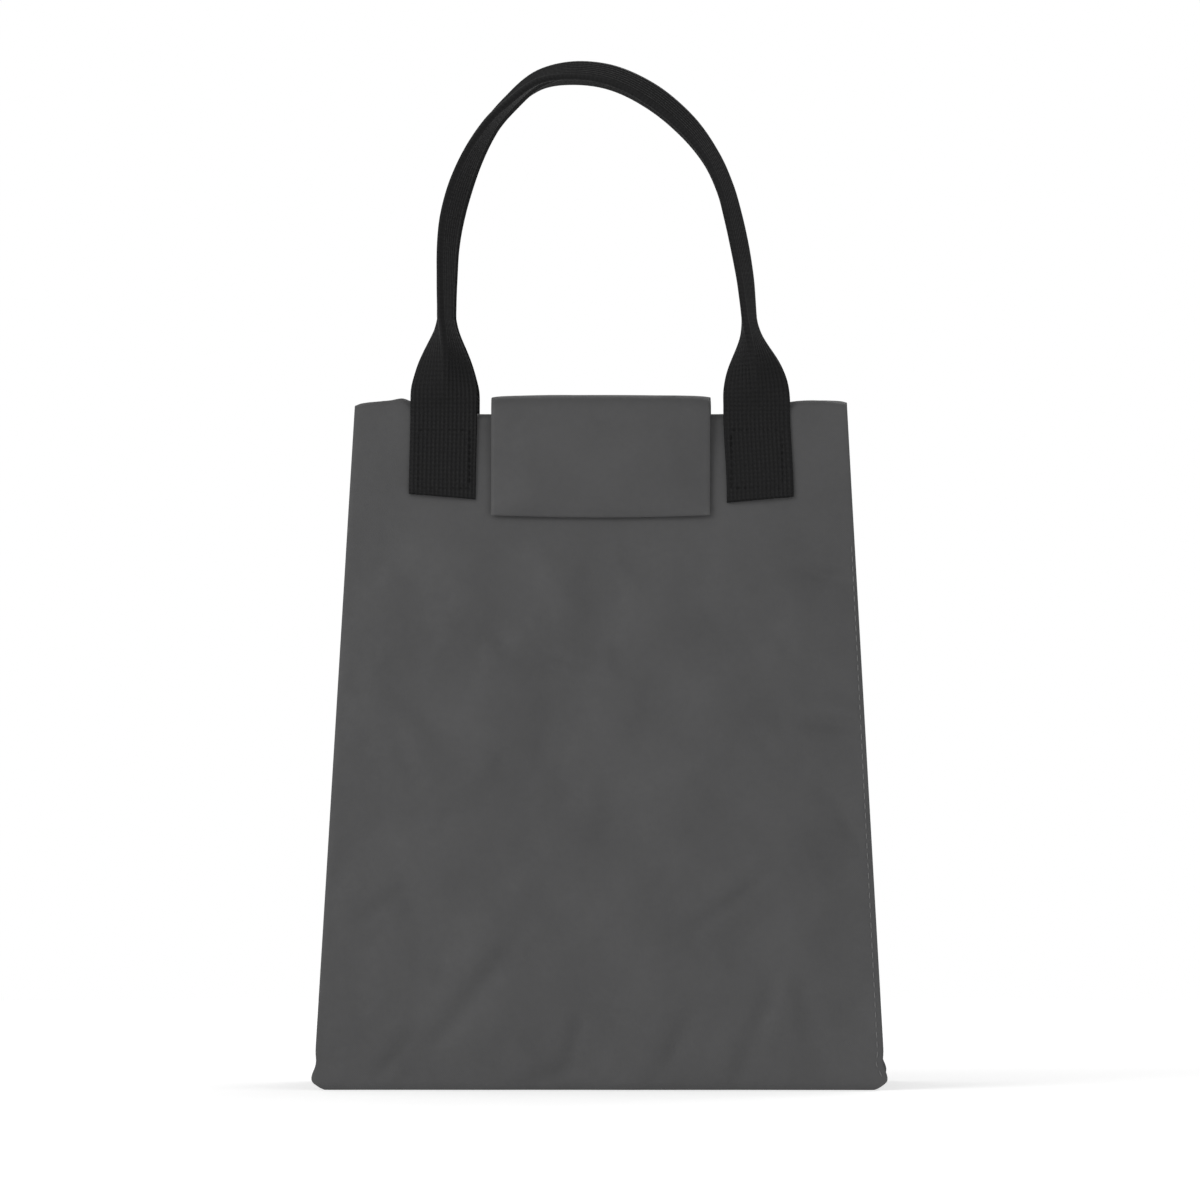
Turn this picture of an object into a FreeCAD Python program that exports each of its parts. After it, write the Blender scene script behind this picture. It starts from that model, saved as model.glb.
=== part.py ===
import FreeCAD, Part
import math
import os
from functools import partial

import Sketcher

# A soft insulated lunch tote: a tapered fabric body with side gussets, a closing flap held by hook and
# loop tape, and two carrying handles of folded webbing.
# Frame: origin on the floor under the middle of the body, +X to the right as seen from the front, the front
# panel faces -Y, +Z up. Lengths are in millimetres.

DRIVING_SIZES = {
    # body
    "base_width": 208.6,        # across the gussets' outer faces at the floor
    "base_depth": 120,          # outer depth at the floor
    "mouth_width": 179.4,       # across the gussets' outer faces at the mouth
    "mouth_depth": 44,          # outer depth at the mouth
    "body_height": 255,         # floor to mouth edge
    "seam_flange": 2.5,         # how far the front and back panels reach past the gussets
    "gusset_fold": 30,          # how far the gusset's crease runs inward at the mouth
    "outer_ply": 0.8,           # outer fabric
    "foam_ply": 3,              # insulating foam
    "lining_ply": 0.6,          # lining fabric
    "board_ply": 1.5,           # base board
    "board_gap": 2,             # base board to lining, all round
    "hem_drop": 22,             # turned hem inside the mouth
    "tape_width": 8,            # binding tape over an inner corner seam
    "tape_gap": 0.03,           # binding tape to lining
    # handles
    "webbing_width": 25,        # flat webbing
    "webbing_ply": 1.4,
    "handle_spacing": 116,      # between the middles of a handle's two sewn ends
    "tab_drop": 34,             # sewn end, mouth edge to lower edge
    "swing_gap": 1.2,           # the strap's pivot stands this far off the sewn end's face
    "strap_gap": 1,             # mouth edge to the free strap's lower end
    "neck_height": 287,         # where the strap is folded to its narrow grip
    "grip_width": 8.5,          # folded strap, across its arch
    "grip_depth": 11,           # folded strap, front to back
    "left_leg": -56.8,          # X of the grip's left leg at the neck
    "right_leg": 55.2,          # X of the grip's right leg at the neck
    "left_spring": 304,         # where the grip's left leg starts to curve
    "right_spring": 288,
    "crown_middle": -10.8,      # X of the grip's highest point
    "crown_height": 380.2,      # Z of the grip's middle line at its highest
    "left_crown_radius": 32.5,  # arcs that meet at the highest point
    "right_crown_radius": 49.2,
    # flap
    "flap_width": 82,
    "flap_ply": 0.8,            # outer fabric of the flap
    "flap_lining_ply": 0.6,
    "anchor_drop": 25,          # sewn end on the back panel
    "anchor_gap": 3,            # top of the sewn end to the mouth edge
    "bridge_rise": 3,           # the bridge climbs this much from back to front
    "tip_drop": 45,             # hanging part, from the fold to its lower edge
    "tape_ply": 1.2,            # hook tape and loop tape
    "tape_drop": 20,
    "tape_length": 50,
    "tape_start": 18,           # fold to the upper edge of the hook tape
    "clearance": 0.3,           # between surfaces that move past each other
}

doc = FreeCAD.newDocument("LunchTote")
sheet = doc.addObject("Spreadsheet::Sheet", "Sizes")


def fill_sheet():
    """One driving size in each row: its name in column A, its value in column B."""
    for row, (name, value) in enumerate(DRIVING_SIZES.items(), start=1):
        sheet.set(f"A{row}", name)
        sheet.set(f"B{row}", str(value))
        sheet.setAlias(f"B{row}", name)
    doc.recompute()


def cell(name):
    """The expression that reads one driving size."""
    return f"Sizes.{name}"


def number(expression):
    """The value of an expression now, without its unit."""
    value = sheet.evalExpression(expression)
    return float(getattr(value, "Value", value))


def new_body(label):
    body = doc.addObject("PartDesign::Body", label)
    body.Label = label
    return body


def new_sketch(body, name, role="XY_Plane", height="0"):
    """An empty sketch on one of the body's own planes, moved along the plane's normal."""
    sketch = body.newObject("Sketcher::SketchObject", name)
    plane = [feature for feature in body.Origin.OriginFeatures if feature.Role == role][0]
    sketch.AttachmentSupport = [(plane, "")]
    sketch.MapMode = "FlatFace"
    sketch.setExpression("AttachmentOffset.Base.z", height)
    return sketch


def pin_point(sketch, index, vertex, x, y):
    """Tie one end of a sketch edge to expressions for its two coordinates."""
    for kind, expression in (("DistanceX", x), ("DistanceY", y)):
        constraint = Sketcher.Constraint(kind, -1, 1, index, vertex, number(expression))
        position = sketch.addConstraint(constraint)
        sketch.setExpression(f"Constraints[{position}]", expression)


def draw_polygon(sketch, corners):
    """A closed outline through corners, each a pair of expressions."""
    points = [FreeCAD.Vector(number(x), number(y), 0) for x, y in corners]
    count = len(points)
    first = sketch.GeometryCount
    for index in range(count):
        sketch.addGeometry(Part.LineSegment(points[index], points[(index + 1) % count]), False)
    for index in range(count):
        following = first + (index + 1) % count
        sketch.addConstraint(Sketcher.Constraint("Coincident", first + index, 2, following, 1))
    for index, (x, y) in enumerate(corners):
        pin_point(sketch, first + index, 1, x, y)


def loft(body, name, sections):
    """A ruled solid through sections, each a sketch."""
    feature = body.newObject("PartDesign::AdditiveLoft", name)
    feature.Profile = sections[0]
    feature.Sections = list(sections[1:])
    feature.Ruled = True
    doc.recompute()
    return feature


def pad(body, name, sketch, length, middle=False):
    feature = body.newObject("PartDesign::Pad", name)
    feature.Profile = sketch
    feature.Midplane = middle
    feature.setExpression("Length", length)
    doc.recompute()
    return feature


# ---- the body's section at any height -------------------------------------------------------------
#
# Every corner of every ply runs in a straight line from its place at the floor to its place at the
# mouth, so plies that start at different heights still lie face to face.

def side_x(inset, from_face, level):
    """X of the gusset's surface, inset from the outside, at a point from_face behind the front face."""
    if level == "base":
        return f"({cell('base_width')} / 2 - ({inset}))"
    share = f"({from_face}) / ({cell('mouth_depth')} / 2)"
    return f"({cell('mouth_width')} / 2 - ({inset}) - {cell('gusset_fold')} * {share})"


def crease_x(inset, level):
    return side_x(inset, f"{cell('mouth_depth')} / 2", level)


def face_y(inset, level):
    """Distance of a front or back ply's surface from the middle plane."""
    return f"({cell(level + '_depth')} / 2 - ({inset}))"


def face_outline(side, outer, inner, level, flange="0"):
    """Corners of the front (side -1) or back (side 1) wall between two insets."""
    outer_x = f"({side_x(outer, outer, level)} + {flange})"
    inner_x = f"({side_x(outer, inner, level)} + {flange})"
    outer_y = f"{side} * {face_y(outer, level)}"
    inner_y = f"{side} * {face_y(inner, level)}"
    return [(f"-{outer_x}", outer_y), (outer_x, outer_y), (inner_x, inner_y), (f"-{inner_x}", inner_y)]


def panel_outline(side, outer, inner, level):
    """Front or back outer panel, whose edges reach past the gussets as the stitched seam flanges."""
    return face_outline(side, outer, inner, level, cell("seam_flange"))


def gusset_outline(side, outer, inner, level):
    """Corners of the left (side -1) or right (side 1) wall: a strip with a crease in its middle."""
    reach = face_y(inner, level)
    outer_x = f"{side} * {side_x(outer, inner, level)}"
    inner_x = f"{side} * {side_x(inner, inner, level)}"
    return [
        (outer_x, f"-{reach}"),
        (f"{side} * {crease_x(outer, level)}", "0"),
        (outer_x, reach),
        (inner_x, reach),
        (f"{side} * {crease_x(inner, level)}", "0"),
        (inner_x, f"-{reach}"),
    ]


def floor_outline(side, outer, inner, level):
    """Corners of the whole section inside an inset."""
    x = side_x(inner, inner, level)
    crease = crease_x(inner, level)
    y = face_y(inner, level)
    return [(f"-{x}", f"-{y}"), (x, f"-{y}"), (crease, "0"), (x, y), (f"-{x}", y), (f"-{crease}", "0")]


def tape_outline(x_side, y_side, outer, inner, level):
    """Corners of a strip that lies against the front or back lining, in an upright corner."""
    near_y = f"{y_side} * {face_y(outer, level)}"
    far_y = f"{y_side} * {face_y(inner, level)}"
    near_x = side_x(outer, outer, level)
    far_x = side_x(outer, inner, level)
    width = cell("tape_width")
    return [
        (f"{x_side} * {near_x}", near_y),
        (f"{x_side} * {far_x}", far_y),
        (f"{x_side} * ({far_x} - {width})", far_y),
        (f"{x_side} * ({near_x} - {width})", near_y),
    ]


def at_height(outline, height):
    """An outline's corners at a height, from the function that places them at the base and the mouth."""
    share = f"({height}) / {cell('body_height')}"
    return [
        tuple(f"({low} + ({high} - {low}) * {share})" for low, high in zip(base, mouth))
        for base, mouth in zip(outline("base"), outline("mouth"))
    ]


def ply(label, outline, bottom, top):
    """One ply of the body, lofted between its outlines at two heights."""
    body = new_body(label)
    sections = []
    for name, height in (("lower", bottom), ("upper", top)):
        sketch = new_sketch(body, f"{label}_{name}", height=height)
        draw_polygon(sketch, at_height(outline, height))
        sections.append(sketch)
    loft(body, f"{label}_loft", sections)


OUTER = cell("outer_ply")
FOAM = f"({OUTER} + {cell('foam_ply')})"
LINING = f"({FOAM} + {cell('lining_ply')})"
HEM = f"({LINING} + {cell('outer_ply')})"
BOARD_TOP = f"({FOAM} + {cell('board_ply')})"
FLOOR_TOP = f"({BOARD_TOP} + {cell('lining_ply')})"
MOUTH = cell("body_height")
HEM_BOTTOM = f"({MOUTH} - {cell('hem_drop')})"

# name, outline of the outer ply, outline of the plies inside it, side
WALLS = (
    ("front_panel", panel_outline, face_outline, -1),
    ("back_panel", panel_outline, face_outline, 1),
    ("left_gusset", gusset_outline, gusset_outline, -1),
    ("right_gusset", gusset_outline, gusset_outline, 1),
)


def make_body_plies():
    """Outer fabric, foam, lining and mouth hem, each in four walls, and the layers of the floor."""
    for label, outer_outline, outline, side in WALLS:
        place = label.split("_")[0]
        ply(label, partial(outer_outline, side, "0", OUTER), "0", MOUTH)
        ply(f"{place}_foam", partial(outline, side, OUTER, FOAM), OUTER, MOUTH)
        ply(f"{place}_lining", partial(outline, side, FOAM, LINING), BOARD_TOP, MOUTH)
        ply(f"{place}_hem", partial(outline, side, LINING, HEM), HEM_BOTTOM, MOUTH)
    board_inset = f"({FOAM} + {cell('board_gap')})"
    ply("bottom_panel", partial(floor_outline, 0, "0", OUTER), "0", OUTER)
    ply("bottom_foam", partial(floor_outline, 0, "0", FOAM), OUTER, FOAM)
    ply("base_board", partial(floor_outline, 0, "0", board_inset), FOAM, BOARD_TOP)
    ply("bottom_lining", partial(floor_outline, 0, "0", LINING), BOARD_TOP, FLOOR_TOP)


def make_corner_tapes():
    """Binding tape over the seam allowance in each upright inner corner."""
    outer = f"({LINING} + {cell('tape_gap')})"
    inner = f"({outer} + {cell('lining_ply')})"
    bottom = f"({FLOOR_TOP} + {cell('tape_gap')})"
    for y_name, y_side in (("front", -1), ("back", 1)):
        for x_name, x_side in (("left", -1), ("right", 1)):
            outline = partial(tape_outline, x_side, y_side, outer, inner)
            ply(f"{y_name}_{x_name}_corner_tape", outline, bottom, HEM_BOTTOM)


# ---- pieces that lie on the sloping front or back panel ---------------------------------------------

LEAN = f"atan(({cell('base_depth')} - {cell('mouth_depth')}) / 2 / {cell('body_height')})"


def on_panel(label, side, left, right, upper, lower, inner, outer):
    """A flat rectangle on the front (side -1) or back (side 1) panel.

    left and right are X, upper and lower are distances down the panel from the mouth edge, and inner and
    outer are distances out from the panel's face.
    """
    body = new_body(label)
    sketch = new_sketch(body, f"{label}_outline", role="XZ_Plane", height=f"{-side} * ({inner})")
    draw_polygon(sketch, [(left, f"-({upper})"), (right, f"-({upper})"), (right, f"-({lower})"),
                          (left, f"-({lower})")])
    feature = pad(body, f"{label}_pad", sketch, f"({outer}) - ({inner})")
    feature.Reversed = side > 0
    tilt_axis = FreeCAD.Vector(side, 0, 0)
    body.Placement = FreeCAD.Placement(FreeCAD.Vector(0, 0, 0), FreeCAD.Rotation(tilt_axis, 1))
    body.setExpression("Placement.Base.y", f"{side} * {cell('mouth_depth')} / 2")
    body.setExpression("Placement.Base.z", MOUTH)
    body.setExpression("Placement.Rotation.Angle", LEAN)
    doc.recompute()
    return body


def make_sewn_ends():
    """The flat sewn end of each leg of each handle."""
    for y_name, y_side in (("front", -1), ("back", 1)):
        for x_name, x_side in (("left", -1), ("right", 1)):
            middle = f"{x_side} * {cell('handle_spacing')} / 2"
            half = f"{cell('webbing_width')} / 2"
            on_panel(f"{y_name}_handle_{x_name}_end", y_side, f"{middle} - {half}", f"{middle} + {half}",
                     "0", cell("tab_drop"), "0", cell("webbing_ply"))


# ---- handles -----------------------------------------------------------------------------------------

def vector_xz(x, z):
    return FreeCAD.Vector(x, 0, z)


def arc_between(centre, start, end):
    """The short arc about centre from start to end."""
    radius = start.sub(centre).Length
    middle = start.add(end).multiply(0.5).sub(centre).normalize().multiply(radius).add(centre)
    return Part.Arc(start, middle, end).toShape()


def quarter_arch(leg_x, spring, crown_radius):
    """A side arc and a crown arc, tangent to each other, from a leg up to the highest point."""
    size = DRIVING_SIZES
    crown = vector_xz(size["crown_middle"], size["crown_height"])
    towards_crown = math.copysign(1, crown.x - leg_x)
    span = abs(crown.x - leg_x)
    rise = crown.z - spring
    side_radius = (span ** 2 + rise ** 2 - 2 * rise * crown_radius) / (2 * (span - crown_radius))
    leg_top = vector_xz(leg_x, spring)
    side_centre = vector_xz(leg_x + towards_crown * side_radius, spring)
    crown_centre = vector_xz(crown.x, crown.z - crown_radius)
    outward = crown_centre.sub(side_centre).normalize()
    joint = crown_centre.add(outward.multiply(crown_radius))
    return [arc_between(side_centre, leg_top, joint), arc_between(crown_centre, joint, crown)]


def grip_path():
    """Middle line of the grip: left leg, four tangent arcs, right leg."""
    size = DRIVING_SIZES
    left_x = size["left_leg"]
    right_x = size["right_leg"]
    edges = quarter_arch(left_x, size["left_spring"], size["left_crown_radius"])
    edges += quarter_arch(right_x, size["right_spring"], size["right_crown_radius"])
    for leg_x, spring in ((left_x, size["left_spring"]), (right_x, size["right_spring"])):
        leg = Part.LineSegment(vector_xz(leg_x, spring), vector_xz(leg_x, size["neck_height"]))
        edges.append(leg.toShape())
    return Part.Wire(Part.__sortEdges__(edges))


def section(middle_x, height, width, thick):
    """A level rectangle about (middle_x, 0)."""
    corners = [FreeCAD.Vector(middle_x + sx * width / 2, sy * thick / 2, height)
               for sx, sy in ((-1, -1), (1, -1), (1, 1), (-1, 1), (-1, -1))]
    return Part.makePolygon(corners)


def make_strap(label, side):
    """The free strap of a handle: two necks, where the flat webbing folds in half, and the arched grip."""
    size = DRIVING_SIZES
    path = grip_path()
    neck = size["neck_height"]
    start = section(size["left_leg"], neck, size["grip_width"], size["grip_depth"])
    shape = path.makePipeShell([start], True, False)
    for leg_x, sign in ((size["left_leg"], -1), (size["right_leg"], 1)):
        middle = sign * size["handle_spacing"] / 2
        flat_height = size["body_height"] + size["strap_gap"]
        flat = section(middle, flat_height, size["webbing_width"], size["webbing_ply"])
        folded = section(leg_x, neck, size["grip_width"], size["grip_depth"])
        shape = shape.fuse(Part.makeLoft([flat, folded], True, True))
    strap = doc.addObject("Part::Feature", label)
    strap.Label = label
    strap.Shape = shape.removeSplitter()
    strap.Placement = FreeCAD.Placement(FreeCAD.Vector(0, side * pivot_y(), 0), FreeCAD.Rotation())
    print(f"{label}: grip {path.Length:.1f} long, whole strap {strap.Shape.Volume:.0f} in volume")


def pivot_y():
    """Distance of a handle's pivot from the middle of the body, at the height of the mouth edge."""
    size = DRIVING_SIZES
    lean = math.atan((size["base_depth"] - size["mouth_depth"]) / 2 / size["body_height"])
    return size["mouth_depth"] / 2 + (size["webbing_ply"] + size["swing_gap"]) / math.cos(lean)


# ---- flap ----------------------------------------------------------------------------------------------

FLAP_HALF = f"{cell('flap_width')} / 2"
FLAP_PLIES = f"({cell('flap_ply')} + {cell('flap_lining_ply')})"
HOOK_INNER = f"({cell('tape_ply')} + {cell('clearance')})"
FLAP_INNER = f"({HOOK_INNER} + {cell('tape_ply')})"
TIP_LOWER = f"({cell('tip_drop')} - {cell('bridge_rise')})"
TAPE_UPPER = f"({cell('tape_start')} - {cell('bridge_rise')})"
TAPE_HALF = f"{cell('tape_length')} / 2"
# the fold where the bridge turns down into the hanging tip
FOLD_Y = f"(-{cell('mouth_depth')} / 2 - {FLAP_INNER} * cos({LEAN}) + {cell('bridge_rise')} * sin({LEAN}))"
FOLD_Z = f"({MOUTH} + {FLAP_INNER} * sin({LEAN}) + {cell('bridge_rise')} * cos({LEAN}))"


def make_bridge_ply(label, lower, upper):
    """One ply of the flap's level part, from the back mouth edge to the fold over the front one."""
    body = new_body(label)
    sketch = new_sketch(body, f"{label}_side", role="YZ_Plane")
    back_y = f"{cell('mouth_depth')} / 2"
    back_z = f"({MOUTH} + {cell('clearance')})"
    front_y = f"({FOLD_Y} + 2 * {cell('clearance')})"
    corners = [(back_y, f"{back_z} + {lower}"), (back_y, f"{back_z} + {upper}"),
               (front_y, f"{FOLD_Z} + {upper}"), (front_y, f"{FOLD_Z} + {lower}")]
    draw_polygon(sketch, corners)
    pad(body, f"{label}_pad", sketch, cell("flap_width"), middle=True)


def make_flap():
    lining = cell("flap_lining_ply")
    anchor_upper = cell("anchor_gap")
    anchor_lower = f"({cell('anchor_gap')} + {cell('anchor_drop')})"
    edges = (f"-{FLAP_HALF}", FLAP_HALF)
    on_panel("flap_sewn_end", 1, *edges, anchor_upper, anchor_lower, lining, FLAP_PLIES)
    on_panel("flap_sewn_end_lining", 1, *edges, anchor_upper, anchor_lower, "0", lining)
    make_bridge_ply("flap_bridge_lining", "0", lining)
    make_bridge_ply("flap_bridge", lining, FLAP_PLIES)
    tip_upper = f"-{cell('bridge_rise')}"
    tip_middle = f"{FLAP_INNER} + {lining}"
    on_panel("flap_tip_lining", -1, *edges, tip_upper, TIP_LOWER, FLAP_INNER, tip_middle)
    on_panel("flap_tip", -1, *edges, tip_upper, TIP_LOWER, tip_middle, f"{FLAP_INNER} + {FLAP_PLIES}")
    tape_edges = (f"-{TAPE_HALF}", TAPE_HALF)
    tape_lower = f"{TAPE_UPPER} + {cell('tape_drop')}"
    on_panel("hook_tape", -1, *tape_edges, TAPE_UPPER, tape_lower, HOOK_INNER, FLAP_INNER)
    on_panel("loop_tape", -1, *tape_edges, TAPE_UPPER, tape_lower, "0", cell("tape_ply"))


# ---- checks and export -----------------------------------------------------------------------------------

def check_document():
    """Stop if any object failed to compute, or any piece is empty or not one valid closed solid."""
    doc.recompute()
    for item in doc.Objects:
        if "Invalid" in item.State or "Error" in item.State:
            raise RuntimeError(f"{item.Name} failed: {item.State}")
    for piece in pieces():
        shape = piece.Shape
        if shape.isNull() or not shape.isValid() or len(shape.Solids) != 1:
            raise RuntimeError(f"{piece.Label} is not one valid solid")


def pieces():
    return [item for item in doc.Objects
            if item.TypeId == "PartDesign::Body" or item.TypeId == "Part::Feature"]


def export():
    os.makedirs("parts", exist_ok=True)
    for piece in pieces():
        piece.Shape.exportStep(f"parts/{piece.Label}.step")
    print(len(pieces()), "pieces written")


fill_sheet()
make_body_plies()
make_corner_tapes()
make_sewn_ends()
make_flap()
make_strap("front_handle_strap", -1)
make_strap("back_handle_strap", 1)
check_document()
export()
print(f"flap fold at Y {number(FOLD_Y):.3f}, Z {number(FOLD_Z):.3f}; handle pivots at Y {pivot_y():.3f}")
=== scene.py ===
"""A soft insulated lunch tote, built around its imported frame: fabric body, closing flap, webbing handles.

Surfaces are worked out in millimetres as grids of points, rows by columns, and become meshes in metres.
"""

import math

import bpy
import numpy as np
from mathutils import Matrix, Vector


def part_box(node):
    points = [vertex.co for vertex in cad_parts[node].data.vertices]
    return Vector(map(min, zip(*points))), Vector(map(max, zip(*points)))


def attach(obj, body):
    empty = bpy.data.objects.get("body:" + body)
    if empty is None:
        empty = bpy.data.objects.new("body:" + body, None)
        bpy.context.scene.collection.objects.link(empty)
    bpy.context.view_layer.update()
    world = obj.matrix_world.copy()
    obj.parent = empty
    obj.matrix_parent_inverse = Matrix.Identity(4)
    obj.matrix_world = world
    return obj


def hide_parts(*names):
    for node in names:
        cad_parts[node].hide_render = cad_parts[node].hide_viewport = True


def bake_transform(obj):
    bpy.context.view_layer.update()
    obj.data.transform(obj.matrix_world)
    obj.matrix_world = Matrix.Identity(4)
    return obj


MM = 0.001
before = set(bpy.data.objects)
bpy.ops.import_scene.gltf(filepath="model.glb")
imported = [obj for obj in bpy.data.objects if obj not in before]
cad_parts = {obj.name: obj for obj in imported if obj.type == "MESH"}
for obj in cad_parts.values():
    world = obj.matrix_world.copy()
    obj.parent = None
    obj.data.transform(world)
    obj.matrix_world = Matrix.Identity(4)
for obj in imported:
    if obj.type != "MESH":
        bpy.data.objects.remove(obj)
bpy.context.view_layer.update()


# ---- sizes, from the frame ----

def level_corners(node, top):
    """The corners of a node at its highest or lowest level, in millimetres."""
    corners = np.array([vertex.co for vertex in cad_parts[node].data.vertices]) / MM
    heights = corners[:, 2]
    level = heights.max() if top else heights.min()
    return corners[np.abs(heights - level) < 0.1]


def reach(node, axis, top=False):
    """How far from the middle a node reaches along an axis, at its lowest or highest level."""
    return np.abs(level_corners(node, top)[:, axis]).max()


def node_box(node):
    """Lowest and highest corner of a node, in millimetres."""
    low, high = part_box(node)
    return np.array(low) / MM, np.array(high) / MM


HEIGHT = node_box("front_panel")[1][2]
BASE_DEPTH = reach("front_panel", 1)                # depths and widths are half of the whole
MOUTH_DEPTH = reach("front_panel", 1, top=True)
BASE_WIDTH = reach("right_gusset", 0)
MOUTH_WIDTH = reach("right_gusset", 0, top=True)
FLANGE = reach("front_panel", 0) - BASE_WIDTH       # width of the seams beyond the corners
CREASE_FOLD = MOUTH_WIDTH - level_corners("right_hem", True)[:, 0].min()
LEAN = math.atan((BASE_DEPTH - MOUTH_DEPTH) / HEIGHT)
HEM_BOTTOM = node_box("front_hem")[0][2]
FLOOR_TOP = node_box("bottom_lining")[1][2]
FOAM_INSET = (1.0, 3.75)        # how far inside the outer face each ply lies
LINING_INSET = (3.95, 4.5)
TAPE_INSET = (4.6, 5.1)
HEM_INSET = 5.6
BOTTOM_ROLL = 3.5               # radius of the turned lower edge
PLY = 0.5                       # shown thickness of the outer fabric


# ---- small tools ----

def smooth_step(value, low, high):
    share = np.clip((value - low) / (high - low), 0, 1)
    return share * share * (3 - 2 * share)


def bell(value, middle, width):
    return np.exp(-((value - middle) / width) ** 2)


def unit(vectors):
    return vectors / np.maximum(np.linalg.norm(vectors, axis=-1, keepdims=True), 1e-9)


def stack(x, y, z):
    return np.stack(np.broadcast_arrays(x, y, z), axis=-1).astype(float)


def run_length(points, axis=0):
    """Distance along a line of points or a grid's rows (axis 0), or along its columns (axis 1)."""
    steps = np.linalg.norm(np.diff(points, axis=axis), axis=-1)
    start = np.zeros_like(np.take(steps, [0], axis=axis))
    return np.concatenate([start, np.cumsum(steps, axis=axis)], axis=axis)


def smooth_line(points, count):
    """Evenly spaced points along a Catmull-Rom curve through a few."""
    padded = np.concatenate([2 * points[:1] - points[1:2], points, 2 * points[-1:] - points[-2:-1]])
    share = np.linspace(0, 1, 16, endpoint=False)[:, None]
    spans = []
    for index in range(1, len(padded) - 2):
        before, start, end, after = padded[index - 1:index + 3]
        spans.append(0.5 * (2 * start + (end - before) * share
                            + (2 * before - 5 * start + 4 * end - after) * share ** 2
                            + (3 * start - before - 3 * end + after) * share ** 3))
    dense = np.concatenate(spans + [points[-1:]])
    length = run_length(dense)
    return along_line(dense, length, np.linspace(0, length[-1], count))


def along_line(line, length, marks):
    """Values of a line's columns at marks along its length."""
    return np.stack([np.interp(marks, length, column) for column in line.T], axis=-1)


def link_to_scene(thing):
    bpy.context.scene.collection.objects.link(thing)
    return thing


def new_object(name, points, faces, flat_uv):
    """A smooth mesh object from points in millimetres, with a UV map that is also in millimetres."""
    mesh = bpy.data.meshes.new(name)
    mesh.from_pydata((np.asarray(points).reshape(-1, 3) * MM).tolist(), [], faces)
    layer = mesh.uv_layers.new(name="UVMap")
    corners = np.zeros(len(mesh.loops), int)
    mesh.loops.foreach_get("vertex_index", corners)
    layer.data.foreach_set("uv", np.asarray(flat_uv).reshape(-1, 2)[corners].ravel())
    mesh.polygons.foreach_set("use_smooth", [True] * len(mesh.polygons))
    mesh.update()
    return link_to_scene(bpy.data.objects.new(name, mesh))


def grid_faces(rows, columns, start=0, flip=False, around=False):
    """Quads of a grid, row by row; around also joins its last column to its first."""
    faces = []
    spans = columns if around else columns - 1
    for row in range(rows - 1):
        for column in range(spans):
            following = (column + 1) % columns
            here = start + row * columns
            quad = [here + column, here + following, here + columns + following, here + columns + column]
            faces.append(quad[::-1] if flip else quad)
    return faces


def tube_faces(rings, columns, start=0, flip=False):
    """Faces of a tube of rings, closed at both ends."""
    faces = grid_faces(rings, columns, start=start, flip=flip, around=True)
    first = list(range(start, start + columns))
    last = [vertex + (rings - 1) * columns for vertex in first]
    return faces + ([first, last[::-1]] if flip else [first[::-1], last])


def grid_uv(points):
    return np.stack([run_length(points, 1), run_length(points)], axis=-1)


def sheet_mesh(name, points, flip=False):
    """An open sheet over a grid of points."""
    rows, columns = points.shape[:2]
    return new_object(name, points, grid_faces(rows, columns, flip=flip), grid_uv(points))


def slab_mesh(name, outer, inner):
    """A closed solid between two grids of one shape. Seen from the outer one, columns run to the right."""
    rows, columns = outer.shape[:2]
    count = rows * columns
    faces = grid_faces(rows, columns) + grid_faces(rows, columns, start=count, flip=True)
    order = np.arange(count).reshape(rows, columns)
    rim = np.concatenate([order[0], order[1:, -1], order[-1, -2::-1], order[-2:0:-1, 0]]).tolist()
    for vertex, following in zip(rim, rim[1:] + rim[:1]):
        faces.append([following, vertex, vertex + count, following + count])
    points = np.concatenate([outer.reshape(-1, 3), inner.reshape(-1, 3)])
    flat_uv = np.concatenate([grid_uv(outer).reshape(-1, 2), grid_uv(inner).reshape(-1, 2)])
    return new_object(name, points, faces, flat_uv)


def make_ply(piece):
    """Give an open sheet of outer fabric its thickness, inwards, and smooth it once."""
    ply = piece.modifiers.new("ply", "SOLIDIFY")
    ply.thickness = PLY * MM
    ply.offset = -1
    smooth = piece.modifiers.new("smooth", "SUBSURF")
    smooth.levels = 1
    smooth.render_levels = 1


# ---- dressing, camera, light ----

MATERIALS = {}


def dress(piece, material, body, *nodes):
    """Give a piece its material, stand it for its CAD nodes, and let it ride on a body."""
    piece.data.materials.append(MATERIALS[material])
    if nodes:
        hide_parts(*nodes)
    if body:
        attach(piece, body)
    return piece


def make_camera():
    """Almost straight on, at two thirds of the mouth's height, from so far that the view is nearly flat."""
    middle = Vector((0, -0.7 * BASE_DEPTH * MM, 0.716 * HEIGHT * MM))
    distance = 6.0
    frame_width = 0.4482
    turn = math.radians(0.8)
    camera_data = bpy.data.cameras.new("camera")
    camera_data.sensor_width = 36
    camera_data.lens = camera_data.sensor_width * distance / frame_width
    camera = link_to_scene(bpy.data.objects.new("camera", camera_data))
    camera.location = middle + distance * Vector((math.sin(turn), -math.cos(turn), 0))
    camera.rotation_euler = (math.radians(90), 0, turn)
    bpy.context.scene.camera = camera


def make_floor_disc():
    """A white studio floor that ends while it is still as bright as what lies behind it."""
    radius = 1.3
    reach_out = np.linspace(0.001, radius, 40)[:, None]
    turn = np.linspace(0, 2 * math.pi, 97)[None, :]
    points = stack(reach_out * np.cos(turn), reach_out * np.sin(turn), 0) / MM
    floor = sheet_mesh("studio_floor", points, flip=True)
    floor.data.materials.append(MATERIALS["studio_floor"])


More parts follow.
